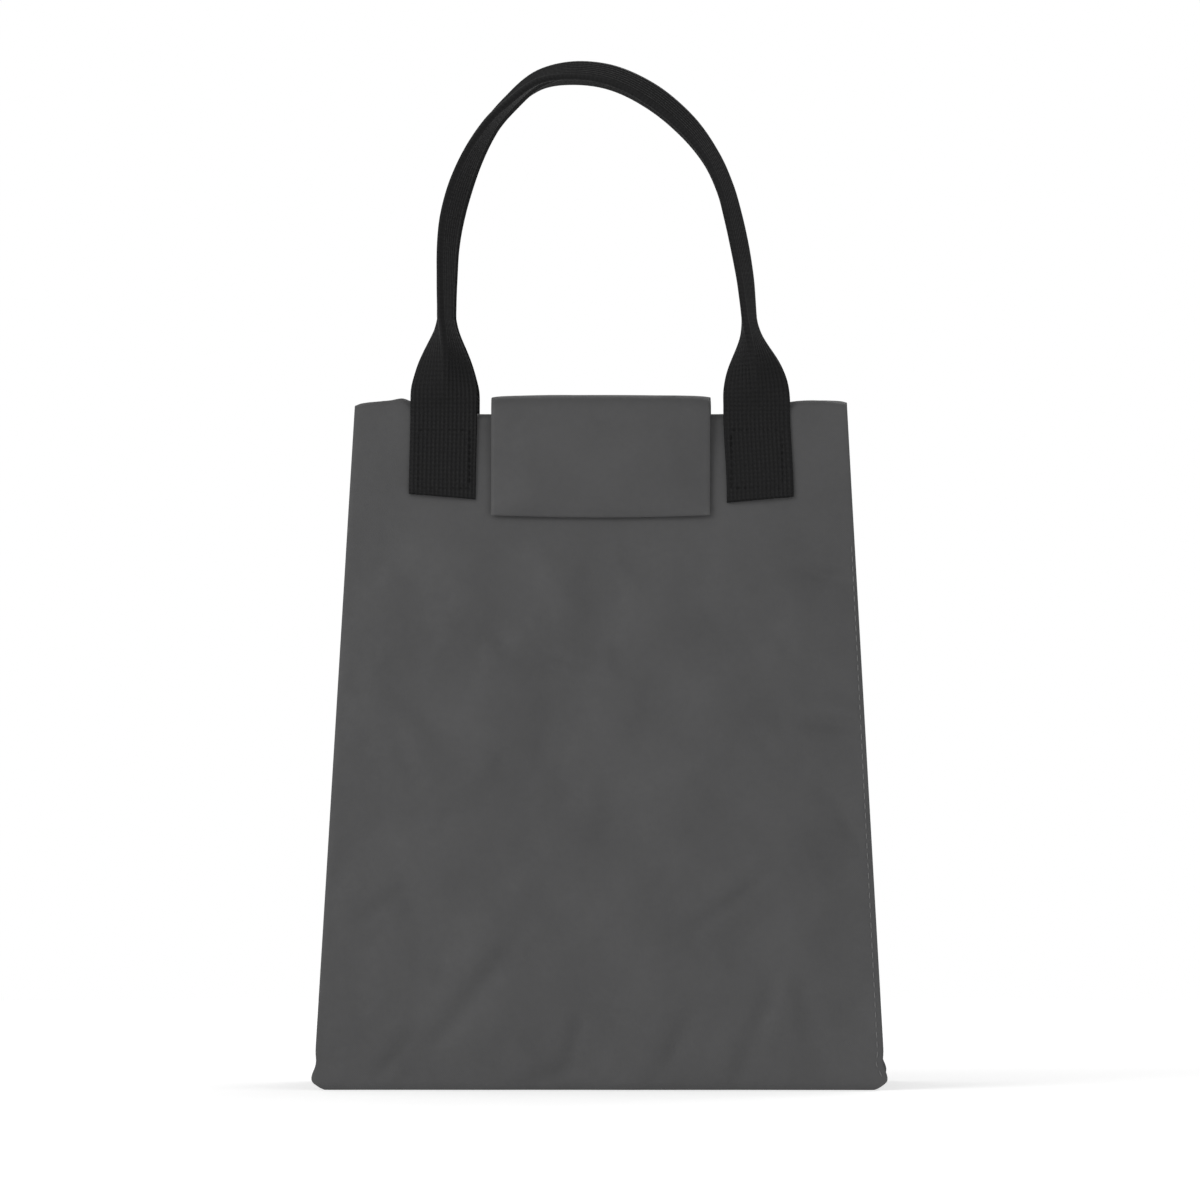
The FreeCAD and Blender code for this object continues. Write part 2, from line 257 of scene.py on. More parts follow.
def area_light(name, place, size, power):
    """A square light that shines at the middle of the object."""
    light_data = bpy.data.lights.new(name, "AREA")
    light_data.energy = power
    light_data.size = size
    light = link_to_scene(bpy.data.objects.new(name, light_data))
    light.location = place
    direction = Vector((0, 0, 0.15)) - Vector(place)
    light.rotation_euler = direction.to_track_quat("-Z", "Y").to_euler()


def make_lights():
    """Even white light from all round, with a soft key from the upper left, in front of plain white."""
    world = bpy.data.worlds.new("studio")
    world.use_nodes = True
    nodes = world.node_tree.nodes
    links = world.node_tree.links
    light = nodes["Background"]
    light.inputs["Color"].default_value = (1, 1, 1, 1)
    light.inputs["Strength"].default_value = 0.66
    seen = nodes.new("ShaderNodeBackground")
    seen.inputs["Color"].default_value = (1, 1, 1, 1)
    choice = nodes.new("ShaderNodeMixShader")
    links.new(nodes.new("ShaderNodeLightPath").outputs["Is Camera Ray"], choice.inputs[0])
    links.new(light.outputs[0], choice.inputs[1])
    links.new(seen.outputs[0], choice.inputs[2])
    links.new(choice.outputs[0], nodes["World Output"].inputs["Surface"])
    bpy.context.scene.world = world
    area_light("key", (-1.5, -1.5, 1.5), 1.3, 21)
    area_light("fill", (1.6, -1.8, 0.7), 1.2, 2)
    area_light("rim", (0.6, 1.6, 1.6), 0.8, 8)
    bpy.context.scene.view_settings.view_transform = "Standard"


# ---- materials ----

class Graph:
    """One material and the nodes added to it."""

    def __init__(self, name):
        self.material = bpy.data.materials.new(name)
        self.material.use_nodes = True
        self.tree = self.material.node_tree
        self.shader = self.tree.nodes["Principled BSDF"]
        self.last_bump = None
        MATERIALS[name] = self.material

    def node(self, kind, *values, settings=None, **named):
        """A node. Values go to its inputs in order, or by name, where underscores stand for spaces."""
        made = self.tree.nodes.new(kind)
        for key, value in (settings or {}).items():
            setattr(made, key, value)
        for socket, value in zip(made.inputs, values):
            self.put(value, socket)
        for key, value in named.items():
            self.put(value, made.inputs[key.replace("_", " ")])
        return made

    def put(self, value, socket):
        """Link an output to a socket, or set the socket to a plain number or colour."""
        if isinstance(value, bpy.types.NodeSocket):
            self.tree.links.new(value, socket)
        else:
            socket.default_value = (*value, 1) if isinstance(value, tuple) else value

    def uniform(self, socket, value):
        """Set one of the shader's own sockets to a value that is the same all over."""
        self.shader.inputs[socket].default_value = value

    def math(self, operation, first, second=0.0):
        return self.node("ShaderNodeMath", first, second, settings={"operation": operation}).outputs[0]

    def noise(self, place, scale, detail=2.0, roughness=0.55):
        made = self.node("ShaderNodeTexNoise", Vector=place, Scale=scale, Detail=detail, Roughness=roughness)
        return made.outputs["Fac"]

    def spread(self, value, low, high, to_low=0.0, to_high=1.0):
        return self.node("ShaderNodeMapRange", value, low, high, to_low, to_high).outputs[0]

    def mix(self, share, first, second):
        """A mix of two colours."""
        made = self.node("ShaderNodeMix", settings={"data_type": "RGBA"}, Factor=share)
        self.put(first, made.inputs[6])
        self.put(second, made.inputs[7])
        return made.outputs[2]

    def colour(self, value, dark, light, low=0.3, high=0.7):
        """Colour the surface from dark to light while a value goes from low to high."""
        self.put(self.mix(self.spread(value, low, high), dark, light), self.shader.inputs["Base Color"])

    def roughness(self, value, smooth, rough, low=0.3, high=0.7):
        self.put(self.spread(value, low, high, smooth, rough), self.shader.inputs["Roughness"])

    def bump(self, height, distance, strength):
        """Add a bump of a real height, in millimetres, on top of those already there."""
        made = self.node("ShaderNodeBump", Height=height, Distance=distance * MM, Strength=strength)
        if self.last_bump:
            self.put(self.last_bump.outputs[0], made.inputs["Normal"])
        self.last_bump = made
        self.put(made.outputs[0], self.shader.inputs["Normal"])

    def uv(self):
        """The two UV coordinates, in millimetres."""
        axes = self.node("ShaderNodeSeparateXYZ", Vector=self.node("ShaderNodeUVMap").outputs[0])
        return axes.outputs[0], axes.outputs[1]

    def place(self):
        return self.node("ShaderNodeTexCoord").outputs["Object"]

    def wave(self, coordinate, pitch):
        """A sine of one coordinate, from -1 to 1, once every pitch."""
        return self.math("SINE", self.math("MULTIPLY", coordinate, 2 * math.pi / pitch))

    def weave(self, pitch):
        """Height of a plain weave: threads that pass over and under each other."""
        across, along = self.uv()
        return self.math("MULTIPLY", self.wave(across, pitch), self.wave(along, pitch))


def outer_fabric(graph):
    """Smooth dark grey polyester with a fine weave and soft dents, and a painted highlight: lighter colour on
    its convex folds and edges.
    """
    place = graph.place()
    mottle = graph.noise(place, 28.0, 3.0)
    slubs = graph.noise(place, 420.0)
    fold_convexity = graph.node("ShaderNodeNewGeometry").outputs["Pointiness"]
    base = graph.mix(graph.spread(mottle, 0.3, 0.7), (0.058, 0.058, 0.059), (0.068, 0.068, 0.069))
    # painted highlight: the more convex a fold or edge, the more its colour is lightened towards pale grey
    fold_highlight = graph.spread(fold_convexity, 0.53, 0.62, 0.0, 0.35)
    graph.put(graph.mix(fold_highlight, base, (0.13, 0.13, 0.13)), graph.shader.inputs["Base Color"])
    graph.roughness(slubs, 0.56, 0.7)
    graph.bump(graph.noise(place, 70.0, 4.0), 0.5, 0.35)
    graph.bump(slubs, 0.05, 0.5)
    graph.bump(graph.weave(0.7), 0.03, 0.6)
    graph.uniform("Specular IOR Level", 0.3)


def webbing(graph):
    """Black polypropylene webbing: heavy ribs along it, crossed by the weft into small blocks."""
    across, along = graph.uv()
    rib = graph.wave(across, 1.56)
    pick = graph.wave(along, 1.7)
    blocks = graph.math("ADD", graph.math("MULTIPLY", rib, 0.6), graph.math("MULTIPLY", pick, 0.4))
    fuzz = graph.noise(graph.place(), 1500.0)
    height = graph.math("ADD", blocks, graph.math("MULTIPLY", fuzz, 0.5))
    graph.colour(height, (0.0022, 0.0022, 0.0024), (0.0072, 0.0072, 0.0075), -0.8, 1.2)
    graph.roughness(fuzz, 0.62, 0.8)
    graph.uniform("Specular IOR Level", 0.22)
    graph.bump(blocks, 0.2, 0.9)
    graph.bump(fuzz, 0.06, 0.5)


def lining(graph):
    """Silver-grey lining cloth with a fine crossed grid."""
    crinkle = graph.noise(graph.place(), 90.0, 5.0, 0.65)
    across, along = graph.uv()
    grid = graph.math("MAXIMUM", graph.wave(across, 3.2), graph.wave(along, 3.2))
    graph.colour(crinkle, (0.34, 0.345, 0.35), (0.46, 0.465, 0.47))
    graph.roughness(crinkle, 0.3, 0.5)
    graph.uniform("Metallic", 0.35)
    graph.bump(crinkle, 0.6, 0.6)
    graph.bump(graph.math("GREATER_THAN", grid, 0.93), 0.06, 0.5)
    graph.bump(graph.weave(0.5), 0.03, 0.5)


def foam(graph):
    """Off-white closed-cell foam."""
    place = graph.place()
    cells = graph.node("ShaderNodeTexVoronoi", Vector=place, Scale=1300.0).outputs["Distance"]
    graph.colour(graph.noise(place, 45.0, 3.0), (0.62, 0.61, 0.57), (0.74, 0.73, 0.69))
    graph.roughness(cells, 0.7, 0.9, 0.0, 0.6)
    graph.bump(cells, 0.15, 0.7)


def binding(graph):
    """Dark grey ribbed binding tape."""
    across, along = graph.uv()
    ribs = graph.wave(along, 0.9)
    fibre = graph.noise(graph.place(), 900.0)
    graph.colour(graph.math("ADD", ribs, fibre), (0.03, 0.03, 0.031), (0.055, 0.055, 0.056), -0.6, 1.4)
    graph.roughness(fibre, 0.6, 0.75)
    graph.bump(ribs, 0.08, 0.7)
    graph.bump(graph.wave(across, 0.6), 0.03, 0.5)


def board(graph):
    """Dark polypropylene sheet with a fine moulded grain."""
    place = graph.place()
    scuffs = graph.noise(place, 60.0, 5.0, 0.7)
    graph.colour(scuffs, (0.02, 0.02, 0.021), (0.036, 0.036, 0.037), 0.35, 0.75)
    graph.roughness(scuffs, 0.42, 0.6, 0.3, 0.8)
    graph.bump(graph.noise(place, 1100.0), 0.05, 0.6)


def thread(graph, tone):
    """Twisted sewing thread of a grey tone."""
    across, along = graph.uv()
    twist = graph.wave(graph.math("ADD", across, along), 0.35)
    fibre = graph.noise(graph.place(), 2500.0)
    dark = 0.75 * tone
    graph.colour(graph.math("ADD", twist, fibre), (dark, dark, dark), (tone, tone, tone), -0.6, 1.4)
    graph.roughness(fibre, 0.6, 0.8)
    graph.uniform("Specular IOR Level", 0.15)
    graph.bump(twist, 0.04, 0.7)


def hook_tape(graph):
    """Ground cloth of the hook tape, between its rows of hooks."""
    fibre = graph.noise(graph.place(), 1400.0)
    graph.colour(fibre, (0.012, 0.012, 0.0125), (0.026, 0.026, 0.027))
    graph.roughness(fibre, 0.38, 0.5)
    graph.bump(graph.weave(0.8), 0.08, 0.8)


def loop_tape(graph):
    """Brushed loop pile."""
    place = graph.place()
    pile = graph.noise(place, 1100.0, 6.0, 0.75)
    graph.colour(pile, (0.008, 0.008, 0.0085), (0.034, 0.034, 0.035))
    graph.roughness(pile, 0.75, 0.95)
    graph.uniform("Sheen Weight", 0.35)
    graph.bump(graph.noise(place, 220.0, 3.0), 0.3, 0.6)
    graph.bump(pile, 0.25, 0.9)


def studio_floor(graph):
    """White studio floor, which glows a little, so that the shadow on it stays faint."""
    fibre = graph.noise(graph.place(), 40.0, 3.0)
    graph.colour(fibre, (0.7, 0.7, 0.7), (0.72, 0.72, 0.72))
    graph.roughness(fibre, 0.85, 0.95)
    graph.uniform("Emission Color", (1, 1, 1, 1))
    graph.uniform("Emission Strength", 0.42)


def make_materials():
    """Every material; each function above fills the graph of the material that it is named after."""
    for paint in (outer_fabric, webbing, lining, foam, binding, board, hook_tape, loop_tape, studio_floor):
        paint(Graph(paint.__name__))
    for name, tone in (("grey_thread", 0.17), ("fabric_thread", 0.08), ("black_thread", 0.006)):
        thread(Graph(name), tone)


# ---- cloth simulation ----
#
# The outer fabric is let go as a sheet a little larger than its frame, held softly by the foam behind it.
# It buckles into small wrinkles, and their heights join the displacement field that moves all plies.

WRINKLES = {}
WRINKLE_SHARE = 0.85            # how much of the simulated height is used
WRINKLE_CAP = 0.9               # and how far it may move the fabric, in millimetres
CLOTH_CELL = 3.0
CLOTH_MOMENTS = 17
CLOTH = {
    "quality": 4,
    "mass": 0.15,
    "tension_stiffness": 30,
    "compression_stiffness": 30,
    "shear_stiffness": 12,
    "bending_stiffness": 1.5,
    "shrink_min": -0.008,       # how much larger the sheet wants to be
    "vertex_group_mass": "hold",
    "pin_stiffness": 0.3,
}


def slow_waves(across, up, seed):
    """Low, wide unevenness of soft foam under fabric."""
    generator = np.random.default_rng(seed)
    total = np.zeros(np.broadcast(across, up).shape)
    for _ in range(7):
        wave_x, wave_z = generator.uniform(0.02, 0.07, 2)
        phase_x, phase_z = generator.uniform(0, 2 * math.pi, 2)
        total = total + 0.22 * np.sin(across * wave_x + phase_x) * np.sin(up * wave_z + phase_z)
    return total


def let_buckle(name, width, height, seed):
    """Simulate one panel's fabric, and return how far it stands out, in millimetres, row by row."""
    columns = int(width / CLOTH_CELL)
    rows = int(height / CLOTH_CELL)
    x = np.linspace(-width / 2, width / 2, columns)[None, :]
    z = np.linspace(0, height, rows)[:, None]
    generator = np.random.default_rng(seed)
    start = 0.3 * slow_waves(x * 2.2, z * 2.2, seed) + generator.normal(0, 0.1, (rows, columns))
    sheet = sheet_mesh(name, stack(x, start, z))
    border = np.minimum(1 - np.abs(2 * x / width), 1 - np.abs(2 * z / height - 1))
    grip = np.clip(0.04 + 0.07 * slow_waves(x * 1.5, z * 1.5, seed + 1), 0.02, 0.6)
    grip = np.where(border < 0.02, 1.0, grip)
    hold = sheet.vertex_groups.new(name="hold")
    for index, weight in enumerate(grip.ravel()):
        hold.add([index], float(weight), "REPLACE")
    cloth = sheet.modifiers.new("cloth", "CLOTH")
    for setting, value in CLOTH.items():
        setattr(cloth.settings, setting, value)
    cloth.settings.effector_weights.gravity = 0
    cloth.collision_settings.use_collision = False
    scene = bpy.context.scene
    for moment in range(CLOTH_MOMENTS):
        scene.frame_set(1 + moment)
    settled = sheet.evaluated_get(bpy.context.evaluated_depsgraph_get())
    places = np.array([vertex.co for vertex in settled.data.vertices]) / MM
    scene.frame_set(1)
    bpy.data.objects.remove(sheet)
    return places[:, 1].reshape(rows, columns)


def make_wrinkles():
    panels = (("front", BASE_WIDTH, 31), ("back", BASE_WIDTH, 37), ("gusset", BASE_DEPTH, 41))
    for place, half, seed in panels:
        WRINKLES[place] = let_buckle(f"{place}_loose", 2 * half, HEIGHT, seed)


def wrinkle_height(place, share, height):
    """Height of the simulated fabric at a share across (-1 to 1) and a share of the height (0 to 1)."""
    grid = WRINKLES[place]
    if grid is None:
        return 0.0 * share * height
    rows, columns = grid.shape
    column, row = np.broadcast_arrays((share + 1) / 2 * (columns - 1), height * (rows - 1))
    column = np.clip(column, 0, columns - 1.001)
    row = np.clip(row, 0, rows - 1.001)
    left = column.astype(int)
    low = row.astype(int)
    side = column - left
    rise = row - low
    lower = grid[low, left] * (1 - side) + grid[low, left + 1] * side
    upper = grid[low + 1, left] * (1 - side) + grid[low + 1, left + 1] * side
    wanted = WRINKLE_SHARE * (lower * (1 - rise) + upper * rise)
    return WRINKLE_CAP * np.tanh(wanted / WRINKLE_CAP)


# ---- the fabric body ----
#
# The body's shape is made in two steps. Points are first placed on the flat-sided form, by panel, height
# and inset from the outer face. Then one displacement field moves every ply alike, so none pokes through
# another: the belly, the low mouth line and the creases.

# lines of the creases in the front panel: X and Z of both ends, depth, and half width
FRONT_CREASES = (
    ((-41, 170), (-34, 166), 0.9, 2.3), ((-28, 160), (-2, 154), 1.4, 2.7), ((-43, 128), (-32, 121), 1.0, 2.5),
    ((-76, 133), (-66, 108), 1.0, 3.1), ((-85, 3), (-69, 19), 1.4, 2.9), ((-66, 10), (-28, 59), 1.6, 3.8),
    ((-31, 1), (-11, 8), 1.2, 2.7), ((-11, 10), (-6, 30), 1.0, 2.7), ((-5, 33), (20, 21), 1.2, 3.1),
    ((36, 60), (63, 80), 1.5, 2.6), ((76, 193), (95, 190), 1.9, 2.5), ((73, 138), (95, 135), 2.2, 2.9),
    ((57, 133), (66, 125), 1.0, 2.3), ((79, 115), (88, 109), 1.0, 2.3), ((89, 104), (96, 94), 1.2, 2.5),
    ((52, 3), (66, 40), 1.3, 3.6), ((84, 4), (70, 52), 1.2, 3.8), ((20, 2), (34, 26), 1.0, 2.9),
    ((-95, 60), (-72, 74), 0.9, 3.2), ((-8, 95), (30, 108), 0.7, 4.0), ((-20, 196), (24, 203), 0.6, 3.2),
)


def seeded_creases(seed, count, reach_x, low, high):
    """Creases laid by a seeded generator over a panel, in the same form as FRONT_CREASES."""
    generator = np.random.default_rng(seed)
    creases = []
    for _ in range(count):
        x = generator.uniform(-reach_x, reach_x)
        z = generator.uniform(low, high)
        angle = generator.normal(0.35, 0.5) * generator.choice((-1, 1))
        half = generator.uniform(0.25, 0.6) * reach_x / 2
        aside = half * math.cos(angle)
        rise = half * math.sin(angle)
        depth = generator.uniform(0.5, 1.2)
        width = generator.uniform(2.6, 4.2)
        creases.append(((x - aside, z - rise), (x + aside, z + rise), depth, width))
    return creases


BACK_CREASES = seeded_creases(11, 18, 88, 8, 190)
GUSSET_CREASES = seeded_creases(23, 12, 40, 12, 200)


def crease_depth(across, up, creases):
    """Height of the creases above the smooth surface: a valley with a softer ridge on its upper side."""
    total = np.zeros(np.broadcast(across, up).shape)
    for start, end, depth, width in creases:
        line = np.subtract(end, start)
        length = np.hypot(*line)
        along = ((across - start[0]) * line[0] + (up - start[1]) * line[1]) / length
        aside = ((up - start[1]) * line[0] - (across - start[0]) * line[1]) / length * np.sign(line[0] + 0.01)
        bend = aside - 0.08 * length * (np.clip(along / length, 0, 1) - 0.5) ** 2
        taper = bell(along, length / 2, 0.52 * length)
        valley = -bell(bend, 0, width)
        ridge = 0.6 * bell(bend, 2 * width, 1.6 * width)
        total = total + depth * taper * (valley + ridge)
    return total


def half_depth(z):
    return BASE_DEPTH + (MOUTH_DEPTH - BASE_DEPTH) * z / HEIGHT


def half_width(z):
    return BASE_WIDTH + (MOUTH_WIDTH - BASE_WIDTH) * z / HEIGHT


def face_swell(x, z, side):
    """How far the front (side -1) or back (side 1) stands out from its flat form."""
    share = x / half_width(z)
    height = z / HEIGHT
    upright = np.sin(math.pi * np.clip(height, 0, 1))
    belly = 4.0 * (1 - share ** 2) * upright ** 1.2
    if side < 0:
        place = "front"
        hollow = -2.0 * bell(x, -8, 34) * bell(z, 130, 80)
        edge_roll = np.where(x > 0, 1.8, 1.0) * upright
        hollow = hollow - edge_roll * smooth_step(np.abs(share), 0.7, 1)
        detail = crease_depth(x, z, FRONT_CREASES) + slow_waves(x, z, 3)
    else:
        place = "back"
        hollow = -1.2 * bell(x, 20, 40) * bell(z, 120, 70)
        detail = crease_depth(x, z, BACK_CREASES) + slow_waves(x, z, 5)
    wrinkles = wrinkle_height(place, np.clip(share, -1, 1), height)
    return (belly + hollow + detail + wrinkles) * (1 - smooth_step(z, 190, 215))


def gusset_swell(y, z, side):
    """How far a gusset stands out from its folded form; nothing at its seams."""
    share = y / half_depth(z)
    height = z / HEIGHT
    belly = 2.2 * (1 - height) * np.sin(math.pi * np.clip(height * 1.4, 0, 1))
    detail = crease_depth(y * side, z, GUSSET_CREASES) + slow_waves(y * side, z, 7)
    detail = detail + wrinkle_height("gusset", np.clip(share * side, -1, 1), height)
    return (belly + detail * (1 - smooth_step(z, 205, 240))) * np.clip(1 - share ** 4, 0, 1)


def mouth_drop(x):
    """How far the mouth edge lies below the frame's: low in the middle, high beside the corners."""
    high = smooth_step(np.abs(x), 44, 78)
    corner = smooth_step(np.abs(x), 84, 95)
    corner_rise = np.where(x > 0, 5.2, 5.0)
    corner_fall = np.where(x > 0, 1.3, 2.5)
    return 2.7 - corner_rise * high + corner_fall * corner - 1.4 * bell(x, -74.5, 2.6)


def displaced(points, gusset_side=0):
    """Points of the flat-sided form, moved to the soft one."""
    x, y, z = np.moveaxis(points, -1, 0)
    share = y / half_depth(np.clip(z, 0, HEIGHT))
    front = face_swell(x, z, -1) * smooth_step(-share, 0.35, 0.72)
    back = face_swell(x, z, 1) * smooth_step(share, 0.35, 0.72)
    aside = gusset_side * gusset_swell(y, z, gusset_side) if gusset_side else 0
    return stack(x + aside, y - front + back, z - mouth_drop(x) * smooth_step(z, 215, HEIGHT))


def corner_x(z, inset):
    return half_width(z) - inset - CREASE_FOLD * (z / HEIGHT) * inset / MOUTH_DEPTH


def face_points(side, share, z, inset):
    """Front or back: share runs from -1 to 1 across it."""
    return displaced(stack(share * corner_x(z, inset), side * (half_depth(z) - inset), z))


def flange_points(x_side, y_side, z, inset, past, back):
    """A column of a seam flange, past the corner and back from the face; it turns in with the mouth's hem."""
    turned = np.where(z > HEIGHT / 2, inset * smooth_step(inset, HEM_INSET / 2, HEM_INSET), inset)
    x = x_side * (corner_x(z, turned) + past)
    return displaced(stack(x, y_side * (half_depth(z) - inset - back), z))


def gusset_points(side, share, z, inset):
    """Left or right: share runs from -1 at the front to 1 at the back, with a rounded crease at 0."""
    soft = 0.07
    rounded = (np.sqrt(share ** 2 + soft ** 2) - soft) / (math.sqrt(1 + soft ** 2) - soft)
    crease = half_width(z) - inset - CREASE_FOLD * z / HEIGHT
    x = side * (crease + (corner_x(z, inset) - crease) * rounded)
    return displaced(stack(x, share * (half_depth(z) - inset), z), gusset_side=side)


def panel_line(side, drop, out):
    """Y and Z of points down the front or back from its mouth edge, and out from its face."""
    y = side * (MOUTH_DEPTH + drop * math.sin(LEAN) + out * math.cos(LEAN))
    z = HEIGHT - drop * math.cos(LEAN) + out * math.sin(LEAN)
    return y, z


FOLDED_MOUTH = math.hypot(MOUTH_DEPTH, CREASE_FOLD)
WALLS = {                       # each wall's panel, side, and half its width at the base and the mouth
    "front": ("front_panel", -1, BASE_WIDTH, MOUTH_WIDTH),
    "back": ("back_panel", 1, BASE_WIDTH, MOUTH_WIDTH),
    "left": ("left_gusset", -1, BASE_DEPTH, FOLDED_MOUTH),
    "right": ("right_gusset", 1, BASE_DEPTH, FOLDED_MOUTH),
}


# ---- outer fabric ----

FACE_COLUMNS = 88
GUSSET_COLUMNS = 48
WALL_ROWS = 104
TURN_ROWS = 6
ROLL_ROWS = 11
HEM_ROWS = 9

# columns of the flange beyond the corner: share of its reach, and depth behind the face
FLANGE_FACE = ((0.35, 0.0), (0.7, 0.05), (0.93, 0.3), (1.0, 0.75))
FLANGE_BACK = ((1.0, 0.75), (0.93, 1.2), (0.6, 1.5), (0.2, 1.6))


def wall_rows():
    """Height and inset of each row: turned lower edge, wall, rolled mouth edge, hem down the inside."""
    turn = np.linspace(math.pi / 2, 0, TURN_ROWS)
    roll = np.linspace(0, math.pi, ROLL_ROWS)[1:-1]
    radius = HEM_INSET / 2
    wall = np.linspace(BOTTOM_ROLL, HEIGHT - radius, WALL_ROWS)[1:]
    hem = np.linspace(HEIGHT - radius, HEM_BOTTOM, HEM_ROWS)
    turned = (BOTTOM_ROLL * (1 - np.sin(turn)), BOTTOM_ROLL * (1 - np.cos(turn)))
    rolled = (HEIGHT - radius + radius * np.sin(roll), radius * (1 - np.cos(roll)))
    heights = np.concatenate([turned[0], wall, rolled[0], hem])
    insets = np.concatenate([turned[1], np.zeros_like(wall), rolled[1], np.full_like(hem, HEM_INSET)])
    return heights[:, None], insets[:, None]


def flange_reach(z, inset):
    """How far the seam flange sticks out: a notch and a small point near the floor, gone inside the mouth."""
    shape = 1 - 0.28 * bell(z, 10, 2.2) + 0.5 * bell(z, 4.6, 2.4) + 0.5 * z / HEIGHT
    under = 0.4 + 0.6 * smooth_step(z, 0, BOTTOM_ROLL)
    inside_mouth = 1 - smooth_step(inset, HEM_INSET / 2, HEM_INSET)
    return FLANGE * shape * under * inside_mouth


def face_wall(name, side):
    """Outer fabric of the front or back, from the turned lower edge to the hem inside the mouth."""
    z, inset = wall_rows()
    past = flange_reach(z, inset)
    thin = np.minimum(past / FLANGE, 1)
    middle = face_points(side, np.linspace(-1, 1, FACE_COLUMNS)[None, :], z, inset)
    left, right = ([flange_points(end, side, z, inset, share * past, depth * thin)
                    for share, depth in FLANGE_FACE] for end in (-1, 1))
    return sheet_mesh(name, np.concatenate([*left[::-1], middle, *right], axis=1), flip=side > 0)


def gusset_wall(name, side):
    """Outer fabric of the left or right, whose border columns lie behind the seam flanges."""
    z, inset = wall_rows()
    past = flange_reach(z, inset)
    thin = np.minimum(past / FLANGE, 1)
    seam = 1.7 * thin / half_depth(z)
    shares = np.linspace(-1, 1, GUSSET_COLUMNS)[None, :]
    middle = gusset_points(side, shares * (1 - seam), z, inset)
    front, back = ([flange_points(side, end, z, inset, share * past, depth * thin)
                    for share, depth in FLANGE_BACK] for end in (-1, 1))
    points = np.concatenate([*front, middle, *back[::-1]], axis=1)
    points[..., 2] = np.maximum(points[..., 2], PLY)
    return sheet_mesh(name, points, flip=side < 0)


def make_outer_fabric():
    """The four walls with their hems, each one cloth."""
    for place, (panel, side, base, mouth) in WALLS.items():
        if place in ("front", "back"):
            piece = face_wall(f"{place}_fabric", side)
        else:
            piece = gusset_wall(f"{place}_gusset_fabric", side)
        make_ply(piece)
        dress(piece, "outer_fabric", "root", panel, f"{place}_hem")


# ---- foam, lining, tapes and floor inside it ----

INNER_ROWS = 60
FOAM_TOP = HEIGHT - 4.5


def ply_slab(name, place, insets, low):
    """A closed ply of one wall between two insets, from a low height to just below the rolled mouth edge."""
    points, columns = (face_points, 56) if place in ("front", "back") else (gusset_points, 36)
    z = np.linspace(low, FOAM_TOP, INNER_ROWS)[:, None]
    shares = np.linspace(-1, 1, columns)[None, :]
    grids = [points(WALLS[place][1], shares, z, inset) for inset in insets]
    if place in ("back", "left"):
        grids = [grid[:, ::-1] for grid in grids]
    return slab_mesh(name, *grids)


def make_inner_walls():
    """Foam and lining of each wall."""
    for place, (_, _, base, mouth) in WALLS.items():
        foam_layer = ply_slab(f"{place}_foam_layer", place, FOAM_INSET, BOTTOM_ROLL - 0.4)
        dress(foam_layer, "foam", "root", f"{place}_foam")
        cloth = ply_slab(f"{place}_lining_cloth", place, LINING_INSET, 4.0)
        dress(cloth, "lining", "root", f"{place}_lining")


def make_corner_tapes():
    """Binding tape over the seams in the four upright inner corners, softly crowned across its width."""
    tape_width = 8.0
    rows = np.linspace(FLOOR_TOP + 0.2, HEM_BOTTOM + 4, 80)[:, None]
    across = np.linspace(0, 1, 9)[None, :]
    crown = 0.35 * np.sin(math.pi * across)
    for y_name, y_side in (("front", -1), ("back", 1)):
        for x_name, x_side in (("left", -1), ("right", 1)):
            grids = []
            for inset, raised in zip(TAPE_INSET, (0, crown)):
                x = x_side * (corner_x(rows, inset) - 0.4 - tape_width * across)
                y = y_side * (half_depth(rows) - inset - raised)
                grids.append(displaced(stack(x, y, rows)))
            if x_side * y_side < 0:
                grids = [grid[:, ::-1] for grid in grids]
            tape = slab_mesh(f"{y_name}_{x_name}_binding", *grids)
            dress(tape, "binding", "root", f"{y_name}_{x_name}_corner_tape")


def floor_grid(height, inset, pucker=0.0):
    """Level points inside an inset, from front to back, with low wrinkles that fade out at the border."""
    x = np.linspace(-1, 1, 80)[None, :] * (BASE_WIDTH - inset)
    y = np.linspace(-1, 1, 46)[:, None] * (BASE_DEPTH - inset)
    points = displaced(stack(x, y, height))
    x, y, _ = np.moveaxis(points, -1, 0)
    border = np.clip((1 - (x / BASE_WIDTH) ** 8) * (1 - (y / BASE_DEPTH) ** 6), 0, 1)
    waves = slow_waves(x * 1.6, y * 1.6, 9) + 0.5
    points[..., 2] += pucker * np.clip(waves, 0, 1) * border
    return points


def make_floor():
    """Outer bottom, foam, base board and lining, one above another."""
    top, bottom = (floor_grid(height, BOTTOM_ROLL - 0.4, 0.3)[:, ::-1] for height in (0.7, 0.05))
    fabric = dress(slab_mesh("bottom_fabric", top, bottom), "outer_fabric", "root", "bottom_panel")
    foam_layer = slab_mesh("bottom_foam_layer", floor_grid(3.7, 3.9), floor_grid(1.2, 3.9))
    dress(foam_layer, "foam", "root", "bottom_foam")
    sheet = slab_mesh("base_board_sheet", floor_grid(5.2, 6.0), floor_grid(3.8, 6.0))
    dress(sheet, "board", "root", "base_board")
    cloth = slab_mesh("bottom_lining_cloth", floor_grid(5.85, 4.6, 0.5), floor_grid(5.3, 4.6))
    dress(cloth, "lining", "root", "bottom_lining")


# ---- stitches ----

STITCH_SIDES = 6
STITCH_RINGS = 5


